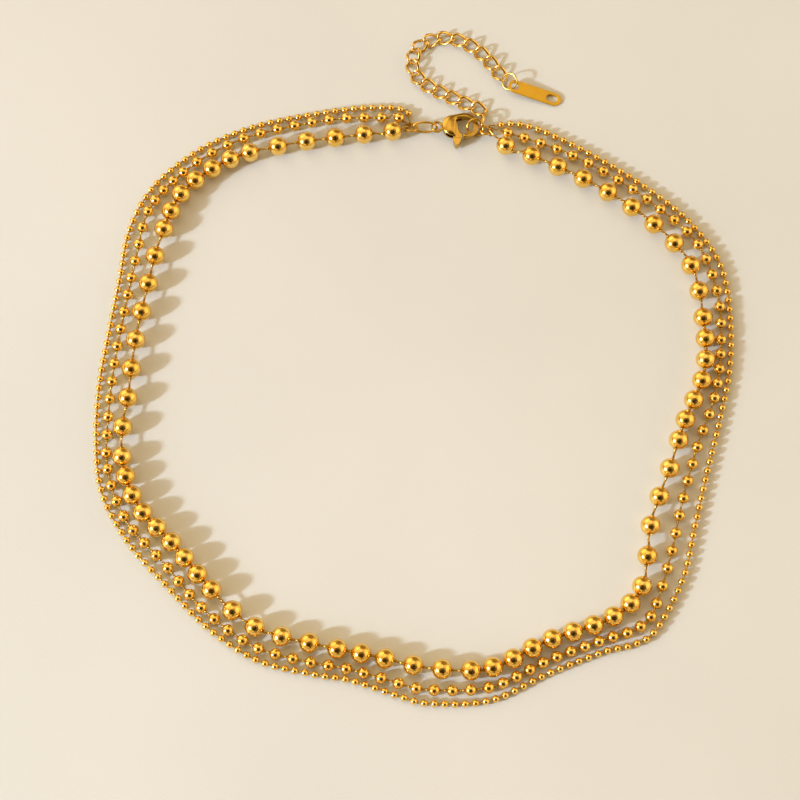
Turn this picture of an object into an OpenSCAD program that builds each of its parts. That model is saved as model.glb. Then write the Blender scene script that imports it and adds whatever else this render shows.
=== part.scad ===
// Three-strand ball chain necklace, lying flat with its clasp closed.
// Millimetres, +Z up, +Y from the front of the loop to the clasp, origin under the middle of its outline.

/* [Strands] */
// Diameter of the inner strand's beads
large_bead_d = 4.1; // [3.9:0.1:4.2]
// Diameter of the middle strand's beads
medium_bead_d = 2.4; // [2.2:0.1:2.5]
// Diameter of the outer strand of fine beads
small_strand_d = 1.5; // [1.3:0.1:1.6]
// Diameter of the wire through the large beads
large_wire_d = 0.45; // [0.35:0.05:0.45]
// Diameter of the wire through the medium beads
medium_wire_d = 0.35; // [0.25:0.05:0.35]
// Diameter of the fine strand's wire, where it comes out to its eye
small_wire_d = 0.3; // [0.2:0.05:0.3]

/* [Rings] */
// Outer diameter of the two rings that gather the strands
end_ring_d = 3; // [2.95:0.05:3.05]
// Wire diameter of the end rings
end_ring_wire = 0.5; // [0.4:0.05:0.5]
// Length of the oval ring at the clasp's eye
clasp_ring_len = 5.7; // [5.6:0.1:5.8]
// Width of that ring
clasp_ring_w = 3.1; // [3:0.1:3.2]
// Wire diameter of that ring
clasp_ring_wire = 0.5; // [0.4:0.05:0.5]
// Outer diameter of the ring that the hook holds
hook_ring_d = 4.1; // [4.05:0.05:4.15]
// Wire diameter of that ring
hook_ring_wire = 0.55; // [0.45:0.05:0.55]

/* [Extender] */
// Distance from one link of the extender to the next
link_pitch = 3.05; // [3.03:0.01:3.07]
// Width of a link
link_w = 3.1; // [3:0.1:3.2]
// Wire diameter of a link
link_wire = 0.5; // [0.4:0.05:0.5]
// Outer diameter of the ring that carries the tag
tag_ring_d = 3.8; // [3.75:0.05:3.85]
// Wire diameter of that ring
tag_ring_wire = 0.35; // [0.25:0.05:0.35]

/* [Tag] */
// Length of the tag
tag_len = 12; // [11:0.5:13]
// Width of the tag
tag_w = 3; // [2.8:0.1:3.2]
// Thickness of the tag
tag_t = 0.5; // [0.4:0.05:0.5]
// Diameter of the hole at the ring's end
tag_hole_d = 1.7; // [1.7:0.05:1.8]
// Length of the slot at the far end
tag_slot_len = 2.6; // [2.2:0.2:3]
// Width of the slot
tag_slot_w = 1.6; // [1.4:0.1:1.7]

/* [Clasp] */
// Thickness of the clasp at its middle
clasp_t = 2.6; // [2.5:0.1:2.7]
// Diameter of the hole in the clasp's eye
eye_hole_d = 1.8; // [1.8:0.05:1.9]
// Thickness of the lever
lever_t = 0.9; // [0.8:0.05:1]

/* [Hidden] */
$fn = 32;
X = 0;
Y = 1;
Z = 2;
gold = "#d8a233";
deep_gold = "#b97f1f";
air = 0.1;
bore_air = 0.16;

// Routes seen from above, x and y, from the left end ring round the front to the right end ring
large_route = [
    [-4.9, 50.9], [-16.5, 49.5], [-28.5, 47.6], [-40, 44.1], [-49.6, 36.6], [-54, 26], [-56.5, 14], [-58.5, 2],
    [-59.5, -10], [-60.4, -22], [-57, -33.5], [-49, -42.5], [-41.5, -51.5], [-32.5, -59.5], [-21, -63],
    [-9, -65.5], [3, -68.1], [14.6, -68], [26, -62.5], [37, -58.6], [42.6, -55], [45.8, -49.5], [47.5, -38],
    [51.5, -27], [55.5, -15.5], [59.9, -4.5], [60.1, 8], [58, 19.5], [50.5, 29], [41, 36.5], [30.5, 42.5],
    [19.5, 47.5]
];
medium_route = [
    [-3.5, 54.6], [-15.5, 54.5], [-27, 52.5], [-38.5, 49], [-48.8, 42.4], [-56.7, 33], [-59.2, 21.5],
    [-61.1, 9.5], [-62.7, -2.5], [-63.5, -14.5], [-63.1, -26], [-58.9, -37.1], [-50.3, -46.9], [-42.5, -55.9],
    [-32.4, -63.4], [-21, -66.7], [-15, -67.7], [-9, -69.3], [-3, -71.1], [3, -72.3], [15, -71.6],
    [26.3, -66.2], [37.5, -62], [43, -60.2], [47.2, -56.6], [51.2, -45], [54.1, -33.4], [57.7, -21.4],
    [61.9, -10], [63.7, 1.5], [63.5, 13.5], [59.6, 25], [50.9, 33.9], [41.5, 41], [31.2, 46.8], [20, 51]
];
small_route = [
    [-0.9, 55.5], [-4.2, 57.2], [-13, 57.1], [-24.4, 55.2], [-35.9, 52.3], [-46.8, 46.9], [-56.2, 38.2],
    [-60.9, 28], [-62.5, 16.5], [-64.2, 4.5], [-65.7, -7.5], [-65.8, -19.5], [-64.1, -31], [-58.35, -41.6],
    [-50.2, -50.8], [-41.9, -59.3], [-31.8, -66.1], [-20.5, -69], [-14.5, -69.9], [-8.7, -71.6], [-3, -73.6],
    [2.5, -74.9], [14.5, -74.3], [25.7, -69], [37, -64.5], [43, -63], [47.7, -60], [53.6, -49.4], [56.6, -38],
    [59.5, -26.9], [62.6, -15.5], [65.3, -4], [66, 8], [64.5, 20], [58.4, 29.9], [49.8, 37.8], [39.8, 44.8],
    [29.4, 50.8], [22.8, 53.2], [17.9, 53.1]
];
extender_route = [
    [13.9, 56.8], [10.5, 58.5], [6.5, 60.5], [3, 62.5], [0, 65.5], [-0.5, 69.5], [1.5, 73], [5.5, 74.5],
    [9.5, 74], [13, 72], [16, 69], [18.5, 65.5]
];

// How the beads are spread along a strand: so many gaps, each so long from bead to bead
COUNT = 0;
GAP = 1;
large_gaps = [
    [5, 6.25], [6, 4.45], [8, 6.5], [8, 4.35], [1, 6.1], [4, 5.7], [2, 4.85], [3, 5.75], [9, 4.4],
    [5, 6.5], [6, 4.75], [10, 6.1]
];
medium_gaps = [[13, 3.8], [4, 2.95], [14, 3.95], [28, 3.6], [13, 3], [12, 3.85], [4, 3.3], [19, 3.75]];

// Centres of the rings, and how each leans about the X axis, its far side up when the lean is positive
left_ring_at = [-0.9, 52.4, 1.15];
right_ring_at = [15.3, 51.63, 1.15];
end_ring_lean = -22;
clasp_at = [4.7, 52.3, 0.15];
clasp_ring_lean = 65;
hook_ring_lean = 40;
hook_ring_at = [13.05, 52.2, ring_rise(hook_ring_d, hook_ring_wire, hook_ring_lean)];

// Middle of the oval ring: its left end lies in the left end ring, its right end in the clasp's eye
clasp_ring_at = [2.07, 52.25, ring_rise(clasp_ring_w, clasp_ring_wire, clasp_ring_lean)];

// The clasp, measured from the middle of its eye, with +X towards the hook
eye_r = 1.35;
eye_t = 0.8;
hook_middle = [6.15, 0.15];
hook_r = 2.95;
cheek_middle = [3.6, 0.1];
cheek_r = 2.5;
opening_x = 6.35;
opening_r = 1.6;
hook_slot = 0.45;
seat_corners = [[4.7, 1.2], [4.7, -0.4]];
seat_r = 0.5;
tip_x = 5.65;
gate_x = 5.5;
dome_x = 3.4;
dome_r = 16;
dome_sides = 180;
pin_at = [3.6, 1.5];
pin_r = 0.35;
pin_air = 0.05;
lever_eye_r = 0.7;
tab_t = 1.8;

// The plain link between the hook's ring and the extender: its place, its turns and its size
joint_at = [14.59, 54.11, 1.67];
joint_turn = 82;
joint_slope = -15;
joint_roll = -72;
joint_half_len = 1.93;
joint_half_w = 1.03;
joint_wire = 0.45;

// Links of the extender: half their middle line, and how high their sides twist
link_play = 0.12;
link_half_len = (link_pitch + link_wire) / 2 + link_play;
link_rise = (link_w - link_wire) / 4;

// Where the first link's heading is taken from
link_start = [16, 54.2];

// The tag's ring and the tag, whose hole the ring passes through
tag_ring_lean = 38;
tag_ring_turn = -46;
tag_ring_at = [20.6, 63.56, ring_rise(tag_ring_d, tag_ring_wire, tag_ring_lean)];
tag_hole_at = tag_ring_at + (tag_ring_d - tag_ring_wire) / 2 * [cos(tag_ring_turn), sin(tag_ring_turn), 0];
tag_hole_in = 1.5;
tag_turn = -18;
tag_dip = asin((tag_hole_at[Z] - tag_t / 2) / (tag_len - tag_hole_in));

// Where each strand's eye sits on an end ring, as an angle round the ring
LEFT = 0;
RIGHT = 1;
large_eye = [205, -45];
medium_eye = [136, 5];
small_eye = [100, 50];

// Number of rings of each half of the fine strand, and the sides of every swept wire
small_rings = 68;
strand_sides = 8;
wire_sides = 6;
link_rings = 16;

// Height of a leaning ring's centre when its low side rests at zero
function ring_rise(d, wire, lean) = (d - wire) / 2 * sin(abs(lean)) + wire / 2;

function unit(v) = v / norm(v);

// Point at t, from 0 to 1, between b and c on the smooth curve through a, b, c and d
function curve_point(a, b, c, d, t) =
    (2 * b + (c - a) * t + (2 * a - 5 * b + 4 * c - d) * t * t + (3 * b - a - 3 * c + d) * t * t * t) / 2;

// A route with each stretch filled in by a smooth curve
function smooth(route, steps = 24) = let (last = len(route) - 1) [
    for (i = [0 : last - 1])
        for (k = [0 : steps - 1])
            curve_point(route[max(i - 1, 0)], route[i], route[i + 1], route[min(i + 2, last)], k / steps),
    route[last]
];

// Distance gone from the start at each point of a line
function travelled(line) = [
    for (i = 0, s = 0; i < len(line); s = s + norm(line[min(i + 1, len(line) - 1)] - line[i]), i = i + 1) s
];

// Points of a line at the given shares, 0 to 1, of its length, all at one height
function points_at(line, shares, height) = let (
    s = travelled(line),
    whole = s[len(s) - 1],
    xs = [for (i = [0 : len(line) - 1]) [s[i], line[i][X]]],
    ys = [for (i = [0 : len(line) - 1]) [s[i], line[i][Y]]]
) [for (share = shares) [lookup(share * whole, xs), lookup(share * whole, ys), height]];

// Each bead's share of the strand's length, from the table of gaps
function bead_shares(table) = let (
    gaps = [for (row = table) for (k = [1 : row[COUNT]]) row[GAP]],
    stops = [for (i = 0, s = 0; i <= len(gaps); s = s + (i < len(gaps) ? gaps[i] : 0), i = i + 1) s]
) stops / stops[len(gaps)];

function bead_places(route, table, bead_d) = points_at(smooth(route), bead_shares(table), bead_d / 2);

function backwards(list) = [for (i = [len(list) - 1 : -1 : 0]) list[i]];

// Wire eye round an end ring, from its free end to the end of its shank, which lifts to the beads' height
EYE_TURNS = [30, 75, 120, 165, 210, 255, 300];
shank_len = 0.2;
function eye(ring_at, angle, wire_d, height) = let (
    along = [cos(angle), sin(angle) * cos(end_ring_lean), sin(angle) * sin(end_ring_lean)],
    up = [0, -sin(end_ring_lean), cos(end_ring_lean)],
    middle = ring_at + (end_ring_d - end_ring_wire) / 2 * along,
    reach = ((end_ring_wire + wire_d) / 2 + air) / cos(22.5),
    shank = middle + (reach + shank_len) * along
) [
    for (a = EYE_TURNS) middle + reach * (cos(a) * along - sin(a) * up),
    [shank[X], shank[Y], (shank[Z] + 3 * height) / 4]
];
eye_len = len(EYE_TURNS) + 1;

// Direction of each bead's bore: from neighbour to neighbour, and straight at the eye's shank at both ends
function bore_ways(places, start, end) = let (last = len(places) - 1) [
    for (i = [0 : last])
        unit(i == 0 ? places[0] - start : i == last ? end - places[last] : places[i + 1] - places[i - 1])
];

// The line of a strand's wire, straight through each bead and bent only between them
function strand_line(start, places, ways, bead_d, end) = concat(
    start,
    [for (i = [0 : len(places) - 1]) each [places[i] - bead_d / 2 * ways[i], places[i] + bead_d / 2 * ways[i]]],
    backwards(end)
);

// Direction of a line at each of its points, halfway between the pieces that meet there
function headings(line) = let (last = len(line) - 1) [
    for (i = [0 : last])
        let (
            before = i > 0 ? unit(line[i] - line[i - 1]) : [0, 0, 0],
            after = i < last ? unit(line[i + 1] - line[i]) : [0, 0, 0]
        ) unit(before + after)
];

// A sideways direction at each point, carried along the line without twisting
function carried(ways) = [
    for (i = 0, n = unit(cross(ways[0], abs(ways[0][Z]) < 0.9 ? [0, 0, 1] : [1, 0, 0]));
        i < len(ways);
        n = let (w = ways[min(i + 1, len(ways) - 1)]) unit(n - (n * w) * w), i = i + 1) n
];

// Triangles between two neighbouring rings of a swept wire, the first starting at point a, the second at b
function band(a, b, sides) = [
    for (k = [0 : sides - 1]) each let (m = (k + 1) % sides) [[a + k, b + k, b + m], [a + k, b + m, a + m]]
];

// Wire or tube swept along a line, with a radius for each point
// beyond is where the line would go on, which sets the slant of its last face
module swept(line, radii, sides, beyond = []) {
    rings = len(line);
    ways = headings(concat(line, beyond));
    sideways = carried([for (i = [0 : rings - 1]) ways[i]]);
    points = [
        for (i = [0 : rings - 1])
            for (k = [0 : sides - 1])
                let (a = 360 * k / sides)
                    line[i] + radii[i] * (cos(a) * sideways[i] + sin(a) * cross(ways[i], sideways[i]))
    ];
    polyhedron(points, concat(
        [[for (k = [0 : sides - 1]) k]],
        [for (i = [0 : rings - 2]) each band(i * sides, (i + 1) * sides, sides)],
        [[for (k = [sides - 1 : -1 : 0]) (rings - 1) * sides + k]]
    ));
}

// Closed link of wire: half lengths of its middle line along and across, and how high its sides twist
module wire_link(half_len, half_w, twist, wire_d) {
    turns = [for (i = [0 : link_rings - 1]) 360 * i / link_rings];
    points = [
        for (a = turns)
            let (
                way = unit([-half_len * sin(a), half_w * cos(a), 2 * twist * cos(2 * a)]),
                flat_out = [cos(a) / half_len, sin(a) / half_w, 0],
                out = unit(flat_out - (flat_out * way) * way),
                up = cross(way, out)
            )
            for (k = [0 : wire_sides - 1])
                [half_len * cos(a), half_w * sin(a), twist * sin(2 * a)]
                    + wire_d / 2 * (cos(360 * k / wire_sides) * out + sin(360 * k / wire_sides) * up)
    ];
    polyhedron(points, [
        for (i = [0 : link_rings - 1]) each band(i * wire_sides, (i + 1) % link_rings * wire_sides, wire_sides)
    ]);
}

module ring(d, wire_d) {
    rotate_extrude() translate([(d - wire_d) / 2, 0]) circle(d = wire_d);
}

// Beads, each turned round its own bore, which leaves air round the wire
module drilled_beads(places, ways, bead_d, wire_d) {
    for (i = [0 : len(places) - 1])
        translate(places[i])
            rotate([0, acos(ways[i][Z]), atan2(ways[i][Y], ways[i][X])])
                rotate_extrude()
                    difference() {
                        circle(d = bead_d);
                        translate([-bead_d, -bead_d]) square([bead_d + wire_d / 2 + bore_air, 2 * bead_d]);
                    }
}

large_starts = eye(left_ring_at, large_eye[LEFT], large_wire_d, large_bead_d / 2);
large_ends = eye(right_ring_at, large_eye[RIGHT], large_wire_d, large_bead_d / 2);
large_places = bead_places(large_route, large_gaps, large_bead_d);
large_ways = bore_ways(large_places, large_starts[eye_len - 1], large_ends[eye_len - 1]);

module large_beads() {
    color(gold) drilled_beads(large_places, large_ways, large_bead_d, large_wire_d);
}

module large_thread() {
    line = strand_line(large_starts, large_places, large_ways, large_bead_d, large_ends);
    color(deep_gold) swept(line, [for (p = line) large_wire_d / 2], wire_sides);
}

medium_starts = eye(left_ring_at, medium_eye[LEFT], medium_wire_d, medium_bead_d / 2);
medium_ends = eye(right_ring_at, medium_eye[RIGHT], medium_wire_d, medium_bead_d / 2);
medium_places = bead_places(medium_route, medium_gaps, medium_bead_d);
medium_ways = bore_ways(medium_places, medium_starts[eye_len - 1], medium_ends[eye_len - 1]);

module medium_beads() {
    color(gold) drilled_beads(medium_places, medium_ways, medium_bead_d, medium_wire_d);
}

module medium_thread() {
    line = strand_line(medium_starts, medium_places, medium_ways, medium_bead_d, medium_ends);
    color(deep_gold) swept(line, [for (p = line) medium_wire_d / 2], wire_sides);
}

// Half of the fine strand, from its eye to the middle of the front
// first and way are the share of the route where it starts and the sign of its travel
module small_strand(first, way, ring_at, angle) {
    places = points_at(
        smooth(small_route),
        [for (i = [0 : small_rings + 1]) first + way * i / small_rings / 2],
        small_strand_d / 2
    );
    start = eye(ring_at, angle, small_wire_d, small_strand_d / 2);
    body = [for (i = [0 : small_rings]) places[i]];
    neck = places[0] - small_wire_d * unit(places[1] - places[0]);
    swept(
        concat(start, [neck], body),
        [for (i = [0 : eye_len + small_rings + 1]) i > eye_len ? small_strand_d / 2 : small_wire_d / 2],
        strand_sides,
        [places[small_rings + 1]]
    );
}

module small_strand_left() {
    color(gold) small_strand(0, 1, left_ring_at, small_eye[LEFT]);
}

module small_strand_right() {
    color(gold) small_strand(1, -1, right_ring_at, small_eye[RIGHT]);
}

module left_end_ring() {
    color(gold) translate(left_ring_at) rotate([end_ring_lean, 0, 0]) ring(end_ring_d, end_ring_wire);
}

module right_end_ring() {
    color(gold) translate(right_ring_at) rotate([end_ring_lean, 0, 0]) ring(end_ring_d, end_ring_wire);
}

module hook_ring() {
    color(gold) translate(hook_ring_at) rotate([hook_ring_lean, 0, 0]) ring(hook_ring_d, hook_ring_wire);
}

// Oval ring between the left end ring and the clasp's eye
module clasp_ring() {
    color(gold)
        translate(clasp_ring_at)
            rotate([clasp_ring_lean, 0, 0])
                wire_link(
                    (clasp_ring_len - clasp_ring_wire) / 2, (clasp_ring_w - clasp_ring_wire) / 2,
                    0, clasp_ring_wire
                );
}

// Flat outline of the clasp from its eye to its hook, without the openings
module clasp_outline() {
    translate(hook_middle) circle(r = hook_r);
    translate(cheek_middle) circle(r = cheek_r);
    polygon([[3.2, 2.53], [5.6, 3.02], [5.6, -2.72], [3.2, -2.33]]);
}

// The opening that the hook closes round, wider on the lever's side
module hook_opening() {
    for (y = [-hook_slot, hook_slot]) translate([opening_x, y]) circle(r = opening_r);
    translate([opening_x - opening_r, -hook_slot]) square([2 * opening_r, 2 * hook_slot]);
    for (corner = seat_corners) translate(corner) circle(r = seat_r);
    polygon([[4.2, 1.2], [4.59, 1.68], [5.98, 2], [opening_x, 0], [4.7, -0.9], [4.2, -0.4]]);
}

// Gap between the body and the hook's tip, which the lever closes
module gate_gap() {
    polygon([[4.2, -0.4], [4.9, -0.8], [tip_x, -1.6], [tip_x + 0.1, -4], [3.9, -4]]);
}

// Pocket inside the body that the lever turns in
module lever_pocket() {
    polygon([[2.75, 2.35], [2.4, 0.4], [1.95, -1.8], [1.7, -4], [tip_x, -4], [5.3, -1], [5.3, 2.35]]);
}

module clasp_body() {
    middle = clasp_t / 2;
    color(gold) translate(clasp_at) difference() {
        union() {
            intersection() {
                linear_extrude(clasp_t) clasp_outline();
                translate([dome_x, 0, dome_r]) sphere(r = dome_r, $fn = dome_sides);
                translate([dome_x, 0, clasp_t - dome_r]) sphere(r = dome_r, $fn = dome_sides);
            }
            translate([0, 0, middle - eye_t / 2]) cylinder(h = eye_t, r = eye_r);
        }
        translate([0, 0, -1]) linear_extrude(clasp_t + 2) hook_opening();
        translate([0, 0, -1]) linear_extrude(clasp_t + 2) gate_gap();
        translate([0, 0, middle - lever_t / 2 - air])
            difference() {
                linear_extrude(lever_t + 2 * air) lever_pocket();
                translate([pin_at[X], pin_at[Y], -1]) cylinder(h = clasp_t, r = pin_r);
            }
        translate([0, 0, -1]) cylinder(h = clasp_t + 2, d = eye_hole_d);
    }
}

// The lever: its eye on the pin, the gate that closes the hook, and the thumb tab
module clasp_lever() {
    middle = clasp_t / 2;
    color(gold) translate(clasp_at) difference() {
        union() {
            translate([0, 0, middle - lever_t / 2]) linear_extrude(lever_t) {
                translate(pin_at) circle(r = lever_eye_r);
                polygon([
                    [3, 1.2], [3.1, 0], [3.4, -1.4], [3.5, -3.2], [5.1, -3.2],
                    [gate_x, -2.9], [gate_x, -1.9], [4.9, -1.4], [4.6, -0.6], [4.5, 0.4], [4.25, 1.5]
                ]);
            }
            translate([0, 0, middle - tab_t / 2]) linear_extrude(tab_t)
                polygon([
                    [3.45, -3], [5.3, -3], [5.2, -3.6], [4.75, -4.6], [4.3, -4.9], [3.9, -4.7], [3.5, -3.8]
                ]);
        }
        translate([pin_at[X], pin_at[Y], 0]) cylinder(h = clasp_t, r = pin_r + pin_air);
    }
}

// A link lying along the chain: its middle, its heading and its slope
module laid_link(middle, turn, slope, roll, half_len, half_w, twist, wire_d) {
    translate(middle) rotate([0, 0, turn]) rotate([0, -slope, 0]) rotate([roll, 0, 0])
        wire_link(half_len, half_w, twist, wire_d);
}

module extender_joint() {
    color(gold)
        laid_link(
            joint_at, joint_turn, joint_slope, joint_roll, joint_half_len, joint_half_w, 0, joint_wire
        );
}

link_places = points_at(smooth(extender_route), [for (i = [0 : 15]) i / 15], link_rise + link_wire / 2);

// One curb link of the extender, counted from the clasp
module extender_link(number) {
    here = link_places[number - 1];
    before = number > 1 ? link_places[number - 2] : link_start;
    after = number < len(link_places) ? link_places[number] : here;
    color(gold)
        laid_link(
            here, atan2(after[Y] - before[Y], after[X] - before[X]), 0, 0,
            link_half_len, (link_w - link_wire) / 2, -link_rise, link_wire
        );
}

module tag_ring() {
    color(gold) translate(tag_ring_at) rotate([0, 0, tag_ring_turn]) rotate([tag_ring_lean, 0, 0])
        ring(tag_ring_d, tag_ring_wire);
}

// Plain bar with round ends, a hole for its ring and a slot at the far end
module tag() {
    far = tag_len - tag_w / 2 - tag_hole_in;
    color(deep_gold)
        translate(tag_hole_at)
            rotate([0, tag_dip, tag_turn])
                translate([0, 0, -tag_t / 2])
                    linear_extrude(tag_t)
                        difference() {
                            union() {
                                translate([tag_w / 2 - tag_hole_in, 0]) circle(d = tag_w);
                                translate([far, 0]) circle(d = tag_w);
                                translate([tag_w / 2 - tag_hole_in, -tag_w / 2])
                                    square([far - tag_w / 2 + tag_hole_in, tag_w]);
                            }
                            circle(d = tag_hole_d);
                            for (x = [far - tag_slot_len + tag_slot_w, far])
                                translate([x, 0]) circle(d = tag_slot_w);
                            translate([far - tag_slot_len + tag_slot_w, -tag_slot_w / 2])
                                square([tag_slot_len - tag_slot_w, tag_slot_w]);
                        }
}

large_beads();
large_thread();
medium_beads();
medium_thread();
small_strand_left();
small_strand_right();
left_end_ring();
clasp_ring();
clasp_body();
clasp_lever();
hook_ring();
right_end_ring();
extender_joint();
extender_link(1);  // extender_link_01
extender_link(2);  // extender_link_02
extender_link(3);  // extender_link_03
extender_link(4);  // extender_link_04
extender_link(5);  // extender_link_05
extender_link(6);  // extender_link_06
extender_link(7);  // extender_link_07
extender_link(8);  // extender_link_08
extender_link(9);  // extender_link_09
extender_link(10);  // extender_link_10
extender_link(11);  // extender_link_11
extender_link(12);  // extender_link_12
extender_link(13);  // extender_link_13
extender_link(14);  // extender_link_14
extender_link(15);  // extender_link_15
extender_link(16);  // extender_link_16
tag_ring();
tag();
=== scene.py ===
# %% [markdown]
# # A three-strand ball chain necklace
# The necklace lies flat with its clasp closed. Three strands of hollow gold beads run from one
# small ring round the front to another: large beads inside, medium ones in the middle, fine ones
# outside. A lobster clasp joins the rings, and a short curb chain with a plain tag trails behind
# it. The solids come from the packed part, which is the fixed frame. Everything made below lies
# where its solid lies.

# %% Load the solids
import math
import random

import bpy
import numpy as np
from mathutils import Matrix, Vector, kdtree


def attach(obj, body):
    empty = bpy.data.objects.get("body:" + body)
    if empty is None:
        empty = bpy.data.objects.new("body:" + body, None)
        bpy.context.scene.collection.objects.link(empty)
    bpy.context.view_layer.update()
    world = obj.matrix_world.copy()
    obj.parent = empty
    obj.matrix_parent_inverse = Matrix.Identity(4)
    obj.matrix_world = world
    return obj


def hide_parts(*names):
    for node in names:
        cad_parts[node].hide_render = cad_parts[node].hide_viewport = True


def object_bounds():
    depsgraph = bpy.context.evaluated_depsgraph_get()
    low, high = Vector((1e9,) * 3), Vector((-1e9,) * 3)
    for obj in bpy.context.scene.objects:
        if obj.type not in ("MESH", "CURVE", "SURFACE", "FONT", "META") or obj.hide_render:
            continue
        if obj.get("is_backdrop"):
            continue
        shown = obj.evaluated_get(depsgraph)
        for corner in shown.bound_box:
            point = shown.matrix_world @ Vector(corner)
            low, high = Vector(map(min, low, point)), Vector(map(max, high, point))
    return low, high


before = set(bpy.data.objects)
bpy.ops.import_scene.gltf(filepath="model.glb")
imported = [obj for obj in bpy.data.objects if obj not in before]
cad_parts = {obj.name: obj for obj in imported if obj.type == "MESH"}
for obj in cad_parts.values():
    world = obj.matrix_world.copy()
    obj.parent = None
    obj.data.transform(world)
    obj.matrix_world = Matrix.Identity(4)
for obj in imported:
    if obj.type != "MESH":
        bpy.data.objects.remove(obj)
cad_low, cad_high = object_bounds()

MM = 0.001
NECKLACE = "necklace"
LEVER = "lever"
SEED = 7
dice = random.Random(SEED)
print("solids:", len(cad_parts))
print("box in mm:", [round((b - a) / MM, 1) for a, b in zip(cad_low, cad_high)])

# %% [markdown]
# ## Camera
# The photograph looks down on the necklace from the front, 21 degrees off the vertical, with a long
# lens from about half a metre. A long lens keeps the far beads nearly as large as the near ones.
# The camera could be placed by eye, but a target, a tilt and a distance are three numbers that can
# be measured and then left alone.

# %% The camera at the photograph's angle
LOOK_AT = Vector((-0.0033, -0.0105, 0))
TILT = math.radians(21)
DISTANCE = 0.48
FOCAL_LENGTH_MM = 104.1
SENSOR_MM = 36
NEAREST, FARTHEST = 0.01, 20
TO_CAMERA = Vector((0, -math.sin(TILT), math.cos(TILT)))


def in_scene(name, data):
    """A new object with the given data, linked to the scene."""
    made = bpy.data.objects.new(name, data)
    bpy.context.scene.collection.objects.link(made)
    return made


def aimed(name, data, way, distance):
    """A camera or a lamp that far out from the necklace, looking back at it."""
    made = in_scene(name, data)
    made.location = LOOK_AT + distance * way
    made.rotation_mode = "QUATERNION"
    made.rotation_quaternion = (-way).to_track_quat("-Z", "Y")
    return made


lens = bpy.data.cameras.new("camera")
lens.sensor_width = SENSOR_MM
lens.lens = FOCAL_LENGTH_MM
lens.clip_start = NEAREST
lens.clip_end = FARTHEST
camera = aimed("camera", lens, TO_CAMERA, DISTANCE)
bpy.context.scene.camera = camera
print("camera at", [round(v, 3) for v in camera.location])

# %% [markdown]
# ## Writing finishes as sums
# A material in Blender is a web of nodes. Laid out by hand it is hard to read back, so one small
# class wraps a node's output socket and lets plain arithmetic stand for Math nodes:
# `0.1 + 0.2 * cloud` adds two of them. Colours and vectors keep their three parts in Mix and Vector
# Math nodes. Every other node comes from one method.

# %% A socket that can be added and multiplied
class Wire:
    def __init__(self, tree, socket):
        self.tree = tree
        self.socket = socket

    def _math(self, operation, a, b):
        return node(self.tree, "ShaderNodeMath", {"operation": operation}, {0: a, 1: b})

    def __add__(self, other):
        return self._math("ADD", self, other)

    def __sub__(self, other):
        return self._math("SUBTRACT", self, other)

    def __rsub__(self, other):
        return self._math("SUBTRACT", other, self)

    def __mul__(self, other):
        return self._math("MULTIPLY", self, other)

    __radd__ = __add__
    __rmul__ = __mul__


def node(tree, kind, settings, sockets, out=0):
    """Adds a node: its settings, then its sockets' values or links. Returns one of its outputs."""
    made = tree.nodes.new(kind)
    for name, value in settings.items():
        setattr(made, name, value)
    for name, value in sockets.items():
        if isinstance(value, Wire):
            tree.links.new(value.socket, made.inputs[name])
        else:
            made.inputs[name].default_value = value
    return Wire(tree, made.outputs[out])


print("a wire knows:", [name for name in vars(Wire) if name.endswith(("add__", "sub__", "mul__"))])


# %% Short names for the nodes that every finish uses
def place(tree):
    """Where a point of the surface is, in metres, carried along when its piece moves."""
    return node(tree, "ShaderNodeTexCoord", {}, {}, "Object")


def noise(tree, at, size, detail=2.0, rough=0.5):
    """Cloudy pattern from 0 to 1 whose lumps are about so many metres across."""
    sockets = {"Vector": at, "Scale": 1 / size, "Detail": detail, "Roughness": rough}
    return node(tree, "ShaderNodeTexNoise", {}, sockets)


def spread(tree, value, low, high):
    """Stretches a value so that low becomes 0 and high becomes 1, and cuts off the rest."""
    sockets = {"Value": value, "From Min": low, "From Max": high}
    return node(tree, "ShaderNodeMapRange", {"clamp": True}, sockets)


# Where a Mix node has its factor, its two colours, and among its outputs the mixed colour
FACTOR, FIRST_COLOUR, SECOND_COLOUR, COLOUR_OUT = 0, 6, 7, 2


def mix(tree, factor, a, b):
    """Colour a where the factor is 0, colour b where it is 1."""
    sockets = {FACTOR: factor, FIRST_COLOUR: a, SECOND_COLOUR: b}
    return node(tree, "ShaderNodeMix", {"data_type": "RGBA"}, sockets, COLOUR_OUT)


def stretched(tree, at, turn, scale):
    """The place turned about Z and then scaled, for marks that run along a piece."""
    about_z = {"rotation_type": "Z_AXIS"}
    facing = node(tree, "ShaderNodeVectorRotate", about_z, {"Vector": at, "Angle": turn})
    return node(tree, "ShaderNodeVectorMath", {"operation": "MULTIPLY"}, {0: facing, 1: scale})


def read_mark(tree, name):
    """A number stored with the mesh, such as each bead's own tone."""
    return node(tree, "ShaderNodeAttribute", {"attribute_name": name}, {}, "Fac")


def finish(name, metallic):
    """An empty material with its main shader, ready for colour, roughness and bump."""
    material = bpy.data.materials.new(name)
    material.use_nodes = True
    shader = material.node_tree.nodes["Principled BSDF"]
    shader.inputs["Metallic"].default_value = metallic
    return material, material.node_tree, shader


def join(tree, shader, colour, roughness, height, depth):
    """Links a colour, a roughness and a relief of so many metres to the main shader."""
    tree.links.new(colour.socket, shader.inputs["Base Color"])
    tree.links.new(roughness.socket, shader.inputs["Roughness"])
    sockets = {"Strength": 1.0, "Distance": depth, "Height": height}
    bump = node(tree, "ShaderNodeBump", {}, sockets)
    tree.links.new(bump.socket, shader.inputs["Normal"])


print("shader helpers ready")

# %% [markdown]
# ## Floor
# The floor is a flat sheet in a warm cream, with a grain so fine that it only softens the light.
# Plain grey would do, but gold takes its colour from what it reflects, and half of what a bead
# reflects is what it lies on.

# %% A cream floor
FLOOR_HALF = 1.5


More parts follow.
